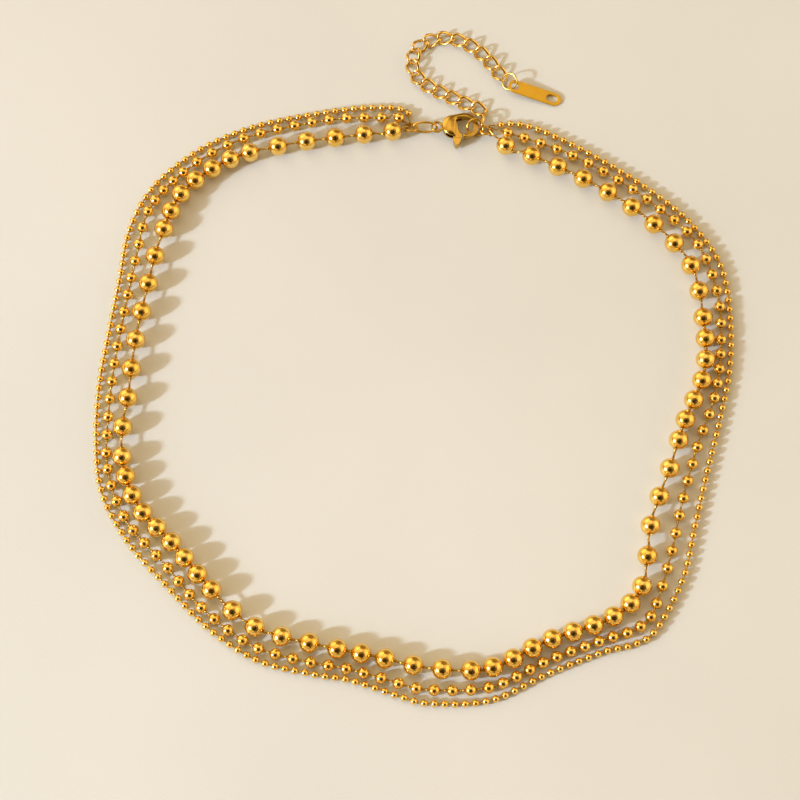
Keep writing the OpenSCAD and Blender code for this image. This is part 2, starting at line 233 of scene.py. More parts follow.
def cream_floor():
    material, tree, shader = finish("cream_floor", 0.0)
    at = place(tree)
    cream, pale_cream = (0.665, 0.69, 0.695, 1), (0.715, 0.74, 0.745, 1)
    cloud = noise(tree, at, 90 * MM, 3.0)
    grain = noise(tree, stretched(tree, at, 0.6, (1.0, 6.0, 1.0)), 1.6 * MM, 2.0)
    colour = mix(tree, spread(tree, cloud, 0.3, 0.7), cream, pale_cream)
    join(tree, shader, colour, 0.55 + 0.1 * cloud, grain, 0.03 * MM)
    return material


floor_mesh = bpy.data.meshes.new("floor")
corners = [(x * FLOOR_HALF, y * FLOOR_HALF, 0) for x, y in ((-1, -1), (1, -1), (1, 1), (-1, 1))]
floor_mesh.from_pydata(corners, [], [(0, 1, 2, 3)])
floor = in_scene("floor", floor_mesh)
floor.data.materials.append(cream_floor())
floor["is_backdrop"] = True
print("floor", 2 * FLOOR_HALF, "m square")

# %% [markdown]
# ## Light
# A cool light stands low on the left. It throws each bead's shadow to the right, and puts one
# bright spot left of its middle. The rest of the light is a warm room. Polished gold shows little
# of its own: what makes a bead look round is the room that it mirrors, so the room has a few soft
# patches, each in the direction that a spot on the beads asks for. A plain even sky would light the
# shapes as well, but it would leave the beads blank.

# %% The lamp
TO_LAMP = (-0.91, -0.385, 0.47)
LAMP_DISTANCE = 1.3
LAMP_WIDTH = 0.1
LAMP_WATTS = 15.5
COOL_WHITE = (0.70, 0.80, 0.88)

lamp = bpy.data.lights.new("key", "AREA")
lamp.shape = "DISK"
lamp.size = LAMP_WIDTH
lamp.energy = LAMP_WATTS
lamp.color = COOL_WHITE
aimed("key", lamp, Vector(TO_LAMP).normalized(), LAMP_DISTANCE)

# %% The room that the gold mirrors
# Each patch has a direction, a tint, how much of the room it covers, the half-angles in degrees
# where it is full and where it ends, and how ragged its edge is.
ROOM_PATCHES = [
    ("dark corner at the back right", (0.27, 0.85, 0.45), (0.20, 0.115, 0.02), 0.85, 16, 36, 0.2),
    ("pale wall at the right", (0.93, 0.05, 0.36), (1.9, 1.4, 0.8), 0.9, 12, 34, 0.1),
    ("bright wall at the back left", (-0.6, 0.66, 0.45), (2.2, 1.75, 1.05), 0.85, 12, 30, 0.1),
    ("bright ceiling", (-0.08, 0.32, 0.94), (1.6, 1.22, 0.75), 0.9, 8, 20, 0.1),
    ("glow round the lamp", TO_LAMP, (5.0, 5.2, 6.2), 1.0, 8, 18, 0.02),
    ("dark patch over the front", (0.12, -0.6, 0.79), (0.03, 0.02, 0.01), 1.0, 27, 41, 0.9),
]
ROOM_STRENGTH = 0.98

world = bpy.data.worlds.new("room")
bpy.context.scene.world = world
world.use_nodes = True
tree = world.node_tree
sky = node(tree, "ShaderNodeTexCoord", {}, {}, "Generated")
height = node(tree, "ShaderNodeSeparateXYZ", {}, {"Vector": sky}, "Z")
low_wall, high_wall = (0.50, 0.32, 0.14, 1), (1.25, 0.92, 0.54, 1)
furniture = (0.42, 0.30, 0.15, 1)
walls = mix(tree, spread(tree, height, 0.02, 0.3), low_wall, high_wall)
clutter = noise(tree, sky, 0.35, 3.0, 0.6)
room = mix(tree, spread(tree, clutter, 0.42, 0.58) * 0.55, walls, furniture)
blots = noise(tree, sky, 0.16, 2.0, 0.5)
for label, toward, colour, cover, full, end, ragged in ROOM_PATCHES:
    way = Vector(toward).normalized()
    dot = {"operation": "DOT_PRODUCT"}
    nearness = node(tree, "ShaderNodeVectorMath", dot, {0: sky, 1: way}, "Value")
    near = nearness + ragged * (blots - 0.5)
    share = spread(tree, near, math.cos(math.radians(end)), math.cos(math.radians(full)))
    room = mix(tree, cover * share, room, (*colour, 1))
    print(label, "reaches", end, "degrees from its middle")
tree.links.new(room.socket, tree.nodes["Background"].inputs["Color"])
tree.nodes["Background"].inputs["Strength"].default_value = ROOM_STRENGTH
bpy.context.scene.view_settings.view_transform = "Standard"

# %% [markdown]
# ## Routes
# Each strand lies along a loose curve that was drawn point by point over the photograph, seen from
# above. The points are the same ones that the solids use. A smooth curve through them could be a
# Blender curve object, but the beads have to land exactly where the solids are, so the same
# interpolation is worked out here.

# %% The strands' routes, in metres, from the left ring round the front to the right ring
LARGE_ROUTE = [
    (-0.0049, 0.0509), (-0.0165, 0.0495), (-0.0285, 0.0476), (-0.040, 0.0441), (-0.0496, 0.0366),
    (-0.054, 0.026), (-0.0565, 0.014), (-0.0585, 0.002), (-0.0595, -0.010), (-0.0604, -0.022),
    (-0.057, -0.0335), (-0.049, -0.0425), (-0.0415, -0.0515), (-0.0325, -0.0595), (-0.021, -0.063),
    (-0.009, -0.0655), (0.003, -0.0681), (0.0146, -0.068), (0.026, -0.0625), (0.037, -0.0586),
    (0.0426, -0.055), (0.0458, -0.0495), (0.0475, -0.038), (0.0515, -0.027), (0.0555, -0.0155),
    (0.0599, -0.0045), (0.0601, 0.008), (0.058, 0.0195), (0.0505, 0.029), (0.041, 0.0365),
    (0.0305, 0.0425), (0.0195, 0.0475),
]
MEDIUM_ROUTE = [
    (-0.0035, 0.0546), (-0.0155, 0.0545), (-0.027, 0.0525), (-0.0385, 0.049), (-0.0488, 0.0424),
    (-0.0567, 0.033), (-0.0592, 0.0215), (-0.0611, 0.0095), (-0.0627, -0.0025), (-0.0635, -0.0145),
    (-0.0631, -0.026), (-0.0589, -0.0371), (-0.0503, -0.0469), (-0.0425, -0.0559),
    (-0.0324, -0.0634), (-0.021, -0.0667), (-0.015, -0.0677), (-0.009, -0.0693), (-0.003, -0.0711),
    (0.003, -0.0723), (0.015, -0.0716), (0.0263, -0.0662), (0.0375, -0.062), (0.043, -0.0602),
    (0.0472, -0.0566), (0.0512, -0.045), (0.0541, -0.0334), (0.0577, -0.0214), (0.0619, -0.010),
    (0.0637, 0.0015), (0.0635, 0.0135), (0.0596, 0.025), (0.0509, 0.0339), (0.0415, 0.041),
    (0.0312, 0.0468), (0.020, 0.051),
]
SMALL_ROUTE = [
    (-0.0009, 0.0555), (-0.0042, 0.0572), (-0.013, 0.0571), (-0.0244, 0.0552), (-0.0359, 0.0523),
    (-0.0468, 0.0469), (-0.0562, 0.0382), (-0.0609, 0.028), (-0.0625, 0.0165), (-0.0642, 0.0045),
    (-0.0657, -0.0075), (-0.0658, -0.0195), (-0.0641, -0.031), (-0.05835, -0.0416),
    (-0.0502, -0.0508), (-0.0419, -0.0593), (-0.0318, -0.0661), (-0.0205, -0.069),
    (-0.0145, -0.0699), (-0.0087, -0.0716), (-0.003, -0.0736), (0.0025, -0.0749), (0.0145, -0.0743),
    (0.0257, -0.069), (0.037, -0.0645), (0.043, -0.063), (0.0477, -0.060), (0.0536, -0.0494),
    (0.0566, -0.038), (0.0595, -0.0269), (0.0626, -0.0155), (0.0653, -0.004), (0.066, 0.008),
    (0.0645, 0.020), (0.0584, 0.0299), (0.0498, 0.0378), (0.0398, 0.0448), (0.0294, 0.0508),
    (0.0228, 0.0532), (0.0179, 0.0531),
]
EXTENDER_ROUTE = [
    (0.0139, 0.0568), (0.0105, 0.0585), (0.0065, 0.0605), (0.003, 0.0625), (0, 0.0655),
    (-0.0005, 0.0695), (0.0015, 0.073), (0.0055, 0.0745), (0.0095, 0.074), (0.013, 0.072),
    (0.016, 0.069), (0.0185, 0.0655),
]
print("route points:", [len(r) for r in (LARGE_ROUTE, MEDIUM_ROUTE, SMALL_ROUTE, EXTENDER_ROUTE)])


# %% A smooth curve through a route, and places along it
def smooth(route, steps=24):
    """The route with each stretch filled in by a smooth curve."""
    points = np.array(route, float)
    last = len(points) - 1
    made = []
    for i in range(last):
        a, b, c, d = (points[k] for k in (max(i - 1, 0), i, i + 1, min(i + 2, last)))
        squared, cubed = 2 * a - 5 * b + 4 * c - d, 3 * b - a - 3 * c + d
        for t in np.arange(steps) / steps:
            made.append((2 * b + (c - a) * t + squared * t**2 + cubed * t**3) / 2)
    return np.array([*made, points[last]])


def travelled(line):
    """Distance gone from the start at each point of a line."""
    return np.concatenate([[0], np.cumsum(np.linalg.norm(np.diff(line, axis=0), axis=1))])


def points_at(line, shares, height):
    """Points of a line at the given shares, 0 to 1, of its length, all at one height."""
    gone = travelled(line)
    at = np.asarray(shares) * gone[-1]
    x, y = (np.interp(at, gone, line[:, axis]) for axis in (0, 1))
    return np.column_stack([x, y, np.full(len(at), height)])


def unit(v):
    """The same direction, or directions, one long."""
    return v / np.linalg.norm(v, axis=-1, keepdims=True)


print("inner strand", round(travelled(smooth(LARGE_ROUTE))[-1] / MM), "mm long")

# %% [markdown]
# ## Spacing of the beads
# A ball chain's beads can slide a little on their wires, so they bunch up on bends and spread on
# straight runs. The tables say how many gaps in a row have about the same length. Only their shares
# count: the strand is as long as its route.

# %% Gaps along the two larger strands: how many, and how long from bead to bead in mm
LARGE_GAPS = [
    (5, 6.25), (6, 4.45), (8, 6.5), (8, 4.35), (1, 6.1), (4, 5.7), (2, 4.85), (3, 5.75), (9, 4.4),
    (5, 6.5), (6, 4.75), (10, 6.1),
]
MEDIUM_GAPS = [
    (13, 3.8), (4, 2.95), (14, 3.95), (28, 3.6), (13, 3.0), (12, 3.85), (4, 3.3), (19, 3.75),
]
FINE_BEADS = 200


def bead_shares(table):
    """Each bead's share of the strand's length, from a table of gaps."""
    gaps = [length for count, length in table for _ in range(count)]
    stops = np.concatenate([[0], np.cumsum(gaps)])
    return stops / stops[-1]


print("beads:", len(bead_shares(LARGE_GAPS)), len(bead_shares(MEDIUM_GAPS)), FINE_BEADS)

# %% [markdown]
# ## Sizes shared with the solids
# The end rings gather the three strands, and each strand ends in a wire eye round a ring. Their
# places and leans are the solids' own.

# %% Rings and eyes
AIR = 0.1 * MM
END_RING_D = 3.0 * MM
END_RING_WIRE = 0.5 * MM
END_RING_LEAN = -22
LEFT_RING_AT = np.array([-0.9, 52.4, 1.15]) * MM
RIGHT_RING_AT = np.array([15.3, 51.63, 1.15]) * MM
SHANK_LEN = 0.2 * MM
HALF_A_CORNER = math.radians(22.5)
EYE_TURNS = np.radians(np.arange(30, 301, 15))[:, None]


def eye(ring_at, degrees, wire, height):
    """The line of a wire eye round an end ring, from its free end to the end of its shank."""
    turn = math.radians(degrees)
    lean = math.radians(END_RING_LEAN)
    rising = math.sin(turn)
    along = np.array([math.cos(turn), rising * math.cos(lean), rising * math.sin(lean)])
    up = np.array([0, -math.sin(lean), math.cos(lean)])
    middle = ring_at + (END_RING_D - END_RING_WIRE) / 2 * along
    # The solids' eye is bent in flats, and this round one goes through the corners between them
    reach = ((END_RING_WIRE + wire) / 2 + AIR) / math.cos(HALF_A_CORNER)
    shank = middle + (reach + SHANK_LEN) * along
    # The shank's end lifts three quarters of the way to the beads' own height
    shank[2] = (shank[2] + 3 * height) / 4
    return np.vstack([middle + reach * (np.cos(EYE_TURNS) * along - np.sin(EYE_TURNS) * up), shank])


print("points round an eye:", len(EYE_TURNS))

# %% [markdown]
# ## Building meshes
# A bead is a round profile turned about its bore, and a wire is a circle carried along a line.
# Blender has primitives and modifiers for both, but hundreds of separate objects are slow to
# handle. Working out the points as arrays makes each strand one mesh, with the bead and wire sizes
# still in plain sight.

# %% Turned and swept shapes
def grid_faces(rows, columns, close_rows):
    """Four-sided faces between neighbouring rows of points, each row closed on itself."""
    a = np.arange(rows if close_rows else rows - 1)[:, None]
    k = np.arange(columns)[None, :]
    b = (a + 1) % rows
    m = (k + 1) % columns
    corners = np.broadcast_arrays(
        a * columns + k, b * columns + k, b * columns + m, a * columns + m
    )
    return np.stack(corners, -1).reshape(-1, 4)


def side_of(way):
    """A direction at right angles to the given one, level unless that one is nearly upright."""
    nearly_upright = abs(way[2]) >= 0.9
    return unit(np.cross(way, [1, 0, 0] if nearly_upright else [0, 0, 1]))


def turned(profile, segments, middle, way, roll):
    """A closed profile of (along, out) pairs turned about the axis way through middle."""
    side = side_of(way)
    over = np.cross(way, side)
    angles = roll + 2 * math.pi * np.arange(segments) / segments
    round_it = np.cos(angles)[:, None] * side + np.sin(angles)[:, None] * over
    gone, out = profile[:, 0][:, None, None], profile[:, 1][:, None, None]
    points = middle + gone * way + out * round_it[None]
    return points.reshape(-1, 3), grid_faces(len(profile), segments, True)


def swept(line, radii, sides):
    """A wire carried along an open line without twisting. The last rows close its ends."""
    line = np.asarray(line, float)
    steps = unit(np.diff(line, axis=0))
    ways = unit(np.vstack([steps[:1], steps[:-1] + steps[1:], steps[-1:]]))
    side = side_of(ways[0])
    angles = 2 * math.pi * np.arange(sides) / sides
    across, upward = np.cos(angles)[:, None], np.sin(angles)[:, None]
    rows = []
    for point, radius, way in zip(line, radii, ways):
        side = unit(side - np.dot(side, way) * way)
        rows.append(point + radius * (across * side + upward * np.cross(way, side)))
    faces = grid_faces(len(line), sides, False)[:, ::-1].tolist()
    faces.append(list(range(sides))[::-1])
    faces.append([(len(line) - 1) * sides + k for k in range(sides)])
    return np.vstack(rows), faces


print("a plain bead would take", len(grid_faces(20, 30, True)), "faces")


# %% From points and faces to a piece
def piece(name, shells, material, slot, body, *nodes, marks=None):
    """Joins (points, faces) shells into one mesh, with a mark for each shell if any are given."""
    points = np.vstack([p for p, _ in shells])
    starts = np.cumsum([0] + [len(p) for p, _ in shells])
    faces = [
        [int(k) + int(start) for k in face]
        for start, (_, shell_faces) in zip(starts, shells)
        for face in shell_faces
    ]
    mesh = bpy.data.meshes.new(name)
    mesh.from_pydata(points.tolist(), [], faces)
    if marks is not None:
        tones = np.concatenate([np.full(len(p), m) for (p, _), m in zip(shells, marks)])
        stored = mesh.attributes.new("tone", "FLOAT", "POINT")
        stored.data.foreach_set("value", tones.astype(np.float32))
    mesh.shade_smooth()
    return settle(name, mesh, material, slot, body, *nodes)


def settle(name, mesh, material, slot, body, *nodes):
    """Puts a finished mesh in the scene, on its body, in the place of its solids."""
    made = in_scene(name, mesh)
    mesh.materials.clear()
    mesh.materials.append(material)
    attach(made, body)
    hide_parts(*nodes)
    triangles = sum(len(p.vertices) - 2 for p in mesh.polygons)
    print(name, "triangles:", triangles)
    return made


# %% [markdown]
# ## Polished gold
# The beads are thin steel shells plated with gold and tumbled to a mirror. Their colour is a full
# yellow that turns amber in the shade of their neighbours. A mirror with one flat colour looks like
# plastic foil, so each bead has its own slight tone, the plating clouds a little, and shallow dents
# from the press bend the reflections.

# %% Finish of the beads
def bead_gold():
    material, tree, shader = finish("bead_gold", 1.0)
    at = place(tree)
    cloud = noise(tree, at, 1.6 * MM, 3.0)
    specks = noise(tree, at, 0.22 * MM, 2.0)
    yellow, pale, amber = (0.93, 0.61, 0.14, 1), (0.98, 0.69, 0.20, 1), (0.86, 0.47, 0.06, 1)
    own = mix(tree, read_mark(tree, "tone"), yellow, pale)
    colour = mix(tree, spread(tree, cloud, 0.35, 0.75) * 0.5, own, amber)
    roughness = 0.07 + 0.08 * spread(tree, specks, 0.45, 0.75) + 0.05 * cloud
    join(tree, shader, colour, roughness, cloud + 0.12 * specks, 0.03 * MM)
    return material


BEAD_GOLD = bead_gold()
print("finish:", BEAD_GOLD.name)

# %% [markdown]
# ## Drawn wire
# The dumbbell wires between the beads and the eyes at the ends are drawn wire, with fine lines
# along their length. Their colour is painted shade: darker than the beads, because they lie in
# their shade.

# %% Finish of the wires
def wire_gold():
    material, tree, shader = finish("wire_gold", 1.0)
    at = place(tree)
    cloud = noise(tree, at, 0.7 * MM, 3.0)
    lines = noise(tree, at, 0.09 * MM, 2.0)
    # Painted shade: both wire tones are darker than the beads' gold, for wires that lie in the
    # beads' shade
    bright, brown = (0.58, 0.37, 0.08, 1), (0.40, 0.24, 0.04, 1)
    colour = mix(tree, spread(tree, cloud, 0.3, 0.7), bright, brown)
    join(tree, shader, colour, 0.2 + 0.15 * lines, lines, 0.006 * MM)
    return material


WIRE_GOLD = wire_gold()
print("finish:", WIRE_GOLD.name)

# %% [markdown]
# ## One bead
# A ball chain's bead is rolled from sheet, so its bore has a soft, rounded rim. The profile runs
# over the ball, round one rim, back through the bore and round the other. A sphere with a Boolean
# hole would leave a hard edge that catches no light.

# %% The bead's profile
RIM_STEPS = 5
FULL_TURN = 6.28


def bead_profile(bead, bore, rim, steps):
    """(along, out) pairs of a ball with a bore whose rims are rounded."""
    ball = bead / 2
    rim_at = math.sqrt((ball - rim) ** 2 - (bore + rim) ** 2)
    start = math.atan2(bore + rim, rim_at)
    over = np.linspace(start, math.pi - start, steps)
    outside = np.column_stack([ball * np.cos(over), ball * np.sin(over)])
    inward = np.linspace(start, -math.pi / 2, RIM_STEPS)[1:]
    rim_line = np.column_stack([rim_at + rim * np.cos(inward), bore + rim + rim * np.sin(inward)])
    return np.vstack([outside, rim_line * [-1, 1], rim_line[::-1]])


def strand_ways(places, start, end):
    """Each bore's direction: from neighbour to neighbour, and at the ends straight at a shank."""
    before = np.vstack([start, places[:-1]])
    after = np.vstack([places[1:], end])
    ways = unit(after - before)
    ways[0] = unit(places[0] - start)
    ways[-1] = unit(end - places[-1])
    return ways


def beads(name, node_name, places, ways, profile, segments):
    """A strand's beads as one piece, each with its own roll about the bore and its own tone."""
    shells = [
        turned(profile, segments, at, way, dice.uniform(0, FULL_TURN))
        for at, way in zip(places, ways)
    ]
    marks = [dice.random() for _ in shells]
    return piece(name, shells, BEAD_GOLD, "bead_gold", NECKLACE, node_name, marks=marks)


print("points along a rim:", RIM_STEPS - 1)

# %% [markdown]
# ## The wires between beads
# Each wire ends inside a bead in a small head. Where it leaves the bead it shows a short collar,
# which is as wide as the bore lets it be. The whole run is swept as one line, straight through each
# bead.

# %% A strand's wire with its collars
# The collar's outline: how far out of the bead's mouth in mm, and the share of its full thickness.
# A collar is shortened to a share of the way to what it faces, so that two never meet.
COLLAR = [(-0.12, 0.0), (-0.08, 0.8), (0.0, 1.0), (0.2, 1.0), (0.27, 0.75), (0.3, 0.0)]
COLLAR_LEN = COLLAR[-1][0] * MM
COLLAR_SHARE = 0.42


def strand_line(places, ways, bead, wire, collar, start, end):
    """Points and radii of a strand's wire from eye to eye, with a collar at each bead's mouth."""
    reach = bead / 2
    line = list(start)
    radii = [wire / 2] * len(start)
    mouths = []
    for p, w in zip(places, ways):
        mouths.append((p - reach * w, -w))
        mouths.append((p + reach * w, w))
    # The shanks' ends and the mouths in order. An even mouth faces the one before, an odd one the
    # next.
    stations = [start[-1], *(mouth for mouth, _ in mouths), end[-1]]
    for i, (mouth, out) in enumerate(mouths):
        faced = stations[i + 2 if i % 2 else i]
        room = min(1.0, COLLAR_SHARE * np.linalg.norm(faced - mouth) / COLLAR_LEN)
        rows = [
            (mouth + t * MM * (room if t > 0 else 1) * out, wire / 2 + s * (collar - wire / 2))
            for t, s in COLLAR
        ]
        for point, radius in rows if i % 2 else rows[::-1]:
            line.append(point)
            radii.append(radius)
    line += list(end[::-1])
    radii += [wire / 2] * len(end)
    return np.array(line), radii


print("collar points:", len(COLLAR))

# %% The cut ends of a wire, and the wire as a piece
# As shares of the wire's radius: how thin a cut end gets, and how far out it is rounded
END_TAPER = 0.6
END_REACH = 0.3


def ends_softened(line, radii):
    """Rounds off the two cut ends of a wire."""
    first = line[0] + END_REACH * radii[0] * unit(line[0] - line[1])
    last = line[-1] + END_REACH * radii[-1] * unit(line[-1] - line[-2])
    return np.vstack([first, line, last]), [END_TAPER * radii[0], *radii, END_TAPER * radii[-1]]


def wire_piece(name, node_name, line, radii, sides):
    return piece(name, [swept(line, radii, sides)], WIRE_GOLD, "wire_gold", NECKLACE, node_name)


print("a cut end is", END_TAPER, "as thick as its wire")

# %% [markdown]
# ## Inner strand
# 68 beads of 4.1 mm. They are the necklace's main line, and the nearest to the eye, so they get the
# most faces.

# %% Large beads and their wire
LARGE_BEAD = 4.1 * MM
LARGE_WIRE = 0.45 * MM
LARGE_COLLAR = LARGE_WIRE / 2 + 0.12 * MM
BORE_AIR = 0.16 * MM
RIM_SHARE = 0.035

large_start = eye(LEFT_RING_AT, 205, LARGE_WIRE, LARGE_BEAD / 2)
large_end = eye(RIGHT_RING_AT, -45, LARGE_WIRE, LARGE_BEAD / 2)
large_places = points_at(smooth(LARGE_ROUTE), bead_shares(LARGE_GAPS), LARGE_BEAD / 2)
large_ways = strand_ways(large_places, large_start[-1], large_end[-1])
profile = bead_profile(LARGE_BEAD, LARGE_WIRE / 2 + BORE_AIR, RIM_SHARE * LARGE_BEAD, steps=22)
beads("large_beads_polished", "large_beads", large_places, large_ways, profile, segments=36)
line, radii = strand_line(
    large_places, large_ways, LARGE_BEAD, LARGE_WIRE, LARGE_COLLAR, large_start, large_end
)
wire_piece("large_wire", "large_thread", *ends_softened(line, radii), sides=12)

# %% [markdown]
# ## Middle strand
# 108 beads of 2.4 mm, made in the same way. They lie just outside the large ones and partly under
# their shade.

# %% Medium beads and their wire
MEDIUM_BEAD = 2.4 * MM
MEDIUM_WIRE = 0.35 * MM
MEDIUM_COLLAR = MEDIUM_WIRE / 2 + 0.1 * MM

medium_start = eye(LEFT_RING_AT, 136, MEDIUM_WIRE, MEDIUM_BEAD / 2)
medium_end = eye(RIGHT_RING_AT, 5, MEDIUM_WIRE, MEDIUM_BEAD / 2)
medium_places = points_at(smooth(MEDIUM_ROUTE), bead_shares(MEDIUM_GAPS), MEDIUM_BEAD / 2)
medium_ways = strand_ways(medium_places, medium_start[-1], medium_end[-1])
profile = bead_profile(MEDIUM_BEAD, MEDIUM_WIRE / 2 + BORE_AIR, RIM_SHARE * MEDIUM_BEAD, steps=16)
beads("medium_beads_polished", "medium_beads", medium_places, medium_ways, profile, segments=28)
line, radii = strand_line(
    medium_places, medium_ways, MEDIUM_BEAD, MEDIUM_WIRE, MEDIUM_COLLAR, medium_start, medium_end
)
wire_piece("medium_wire", "medium_thread", *ends_softened(line, radii), sides=10)

# %% [markdown]
# ## Outer strand
# The finest strand is the one that the solids show as a plain tube in two halves. Here it gets its
# 200 beads of 1.5 mm. They fill the tube's width exactly, so that the strand keeps its place beside
# the others.

# %% Fine beads and their wire, in two halves that meet at the front
FINE_BEAD = 1.5 * MM
FINE_WIRE = 0.3 * MM
FINE_COLLAR = FINE_WIRE / 2 + 0.04 * MM
FINE_BORE = FINE_WIRE / 2 + 0.06 * MM
FINE_RIM = 0.05 * MM

fine_line = smooth(SMALL_ROUTE)
fine_length = travelled(fine_line)[-1]
fine_shares = np.linspace(FINE_BEAD / 2, fine_length - FINE_BEAD / 2, FINE_BEADS) / fine_length
fine_places = points_at(fine_line, fine_shares, FINE_BEAD / 2)
fine_start = eye(LEFT_RING_AT, 100, FINE_WIRE, FINE_BEAD / 2)
fine_end = eye(RIGHT_RING_AT, 50, FINE_WIRE, FINE_BEAD / 2)
fine_ways = strand_ways(fine_places, fine_start[-1], fine_end[-1])
half = FINE_BEADS // 2
middle_of_front = (fine_places[half - 1] + fine_places[half])[None] / 2
for side, part, start, end in [
    ("left", slice(0, half), fine_start, middle_of_front),
    ("right", slice(half, None), middle_of_front, fine_end),
]:
    node_name = "small_strand_" + side
    places, ways = fine_places[part], fine_ways[part]
    profile = bead_profile(FINE_BEAD, FINE_BORE, FINE_RIM, steps=12)
    beads("fine_beads_" + side, node_name, places, ways, profile, segments=20)
    line, radii = strand_line(places, ways, FINE_BEAD, FINE_WIRE, FINE_COLLAR, start, end)
    wire_piece("fine_wire_" + side, node_name, line, radii, sides=8)
print("fine beads", round(fine_length / (FINE_BEADS - 1) / MM, 2), "mm apart")

# %% [markdown]
# ## Rings and links
# The rings and the curb links are bent from bright wire. A ring is a circle carried round a circle.
# It could be Blender's torus, but the links twist as they go round, so one function makes both: an
# oval whose sides may rise and fall twice in a turn, which lets the links of a curb chain lie flat
# in each other.

# %% Finish of the rings and links
def ring_gold(name, bright, deep, rough):
    """Two tones that cloud into each other, under fine scuffs."""
    material, tree, shader = finish(name, 1.0)
    at = place(tree)
    cloud = noise(tree, at, 0.9 * MM, 3.0)
    scuffs = noise(tree, at, 0.12 * MM, 3.0, 0.6)
    colour = mix(tree, spread(tree, cloud, 0.35, 0.7), bright, deep)
    roughness = rough + 0.12 * spread(tree, scuffs, 0.5, 0.8) + 0.06 * cloud
    join(tree, shader, colour, roughness, cloud + 0.3 * scuffs, 0.012 * MM)
    return material


RING_GOLD = ring_gold("ring_gold", (0.86, 0.54, 0.10, 1), (0.74, 0.42, 0.06, 1), 0.12)
DEEP_RING_GOLD = ring_gold("deep_ring_gold", (0.62, 0.42, 0.10, 1), (0.46, 0.29, 0.05, 1), 0.16)
LINK_GOLD = ring_gold("link_gold", (0.90, 0.64, 0.21, 1), (0.70, 0.43, 0.09, 1), 0.10)
print("finishes:", RING_GOLD.name, DEEP_RING_GOLD.name, LINK_GOLD.name)


# %% A closed oval of wire
def oval(half_long, half_wide, twist, wire, broad=1.0, around=64, sides=16):
    """Wire round an oval. Its sides rise and fall by the twist, and are broad times as wide."""
    t = 2 * math.pi * np.arange(around) / around
    cos, sin = np.cos(t), np.sin(t)
    middle = np.column_stack([half_long * cos, half_wide * sin, twist * np.sin(2 * t)])
    way = unit(np.column_stack([-half_long * sin, half_wide * cos, 2 * twist * np.cos(2 * t)]))
    flat_out = np.column_stack([cos / half_long, sin / half_wide, 0 * t])
    out = unit(flat_out - np.sum(flat_out * way, axis=1)[:, None] * way)
    up = np.cross(way, out)
    k = 2 * math.pi * np.arange(sides) / sides
    wide = 1 + (broad - 1) * sin[:, None, None] ** 2
    ring = wide * np.cos(k)[None, :, None] * out[:, None] + np.sin(k)[None, :, None] * up[:, None]
    points = middle[:, None] + wire / 2 * ring
    return points.reshape(-1, 3), grid_faces(around, sides, True)[:, ::-1]


def laid(shell, at, *turns):
    """A shell turned about the named axes, the last one first, and moved to its place."""
    turn = np.eye(3)
    for axis, angle in turns:
        turn = turn @ np.array(Matrix.Rotation(math.radians(angle), 3, axis))
    return shell[0] @ turn.T + at, shell[1]


def ring_rise(d, wire, lean):
    """Height of a leaning ring's centre when its low side rests on the floor."""
    return (d - wire) / 2 * math.sin(math.radians(abs(lean))) + wire / 2


print("an end ring rises", round(ring_rise(END_RING_D, END_RING_WIRE, END_RING_LEAN) / MM, 2), "mm")


# %% End rings, the clasp's oval ring, the hook's ring and the plain link behind it
HOOK_RING_D = 4.1 * MM
HOOK_RING_WIRE = 0.55 * MM
HOOK_RING_LEAN = 40
CLASP_RING_LEN = 5.7 * MM
CLASP_RING_W = 3.1 * MM
CLASP_RING_WIRE = 0.5 * MM
CLASP_RING_LEAN = 65
JOINT_AT = np.array([14.59, 54.11, 1.67]) * MM
JOINT_HALF_LEN = 1.93 * MM
JOINT_HALF_W = 1.03 * MM
JOINT_WIRE = 0.45 * MM
JOINT_TURNS = [("Z", 82), ("Y", 15), ("X", -72)]


def round_ring(d, wire, broad=1.0):
    return oval((d - wire) / 2, (d - wire) / 2, 0, wire, broad)


def ring_piece(name, node_name, shell, material=RING_GOLD):
    return piece(name, [shell], material, "ring_gold", NECKLACE, node_name)


end_ring = round_ring(END_RING_D, END_RING_WIRE)
for side, ring_at in ("left", LEFT_RING_AT), ("right", RIGHT_RING_AT):
    leaning = laid(end_ring, ring_at, ("X", END_RING_LEAN))
    ring_piece(side + "_end_ring_bright", side + "_end_ring", leaning)

hook_rise = ring_rise(HOOK_RING_D, HOOK_RING_WIRE, HOOK_RING_LEAN)
hook_ring_at = np.array([13.05 * MM, 52.2 * MM, hook_rise])
hook_ring = laid(round_ring(HOOK_RING_D, HOOK_RING_WIRE), hook_ring_at, ("X", HOOK_RING_LEAN))
ring_piece("hook_ring_bright", "hook_ring", hook_ring)

clasp_rise = ring_rise(CLASP_RING_W, CLASP_RING_WIRE, CLASP_RING_LEAN)
clasp_ring_at = np.array([2.07 * MM, 52.25 * MM, clasp_rise])
half_len, half_w = ((size - CLASP_RING_WIRE) / 2 for size in (CLASP_RING_LEN, CLASP_RING_W))
clasp_ring = laid(oval(half_len, half_w, 0, CLASP_RING_WIRE), clasp_ring_at, ("X", CLASP_RING_LEAN))
ring_piece("clasp_ring_bright", "clasp_ring", clasp_ring)

joint = laid(oval(JOINT_HALF_LEN, JOINT_HALF_W, 0, JOINT_WIRE), JOINT_AT, *JOINT_TURNS)
piece("extender_joint_bright", [joint], LINK_GOLD, "link_gold", NECKLACE, "extender_joint")

# %% [markdown]
# ## Extender
# Sixteen curb links lie in a loose U. Each is turned along the route at its place. They are
# separate pieces, as on the real chain, because each of them is a solid of its own.

# %% The curb links
LINK_PITCH = 3.05 * MM
LINK_W = 3.1 * MM
LINK_WIRE = 0.5 * MM
LINK_PLAY = 0.12 * MM
LINK_BROAD = 1.5
LINKS = 16
LINK_START = np.array([16, 54.2]) * MM

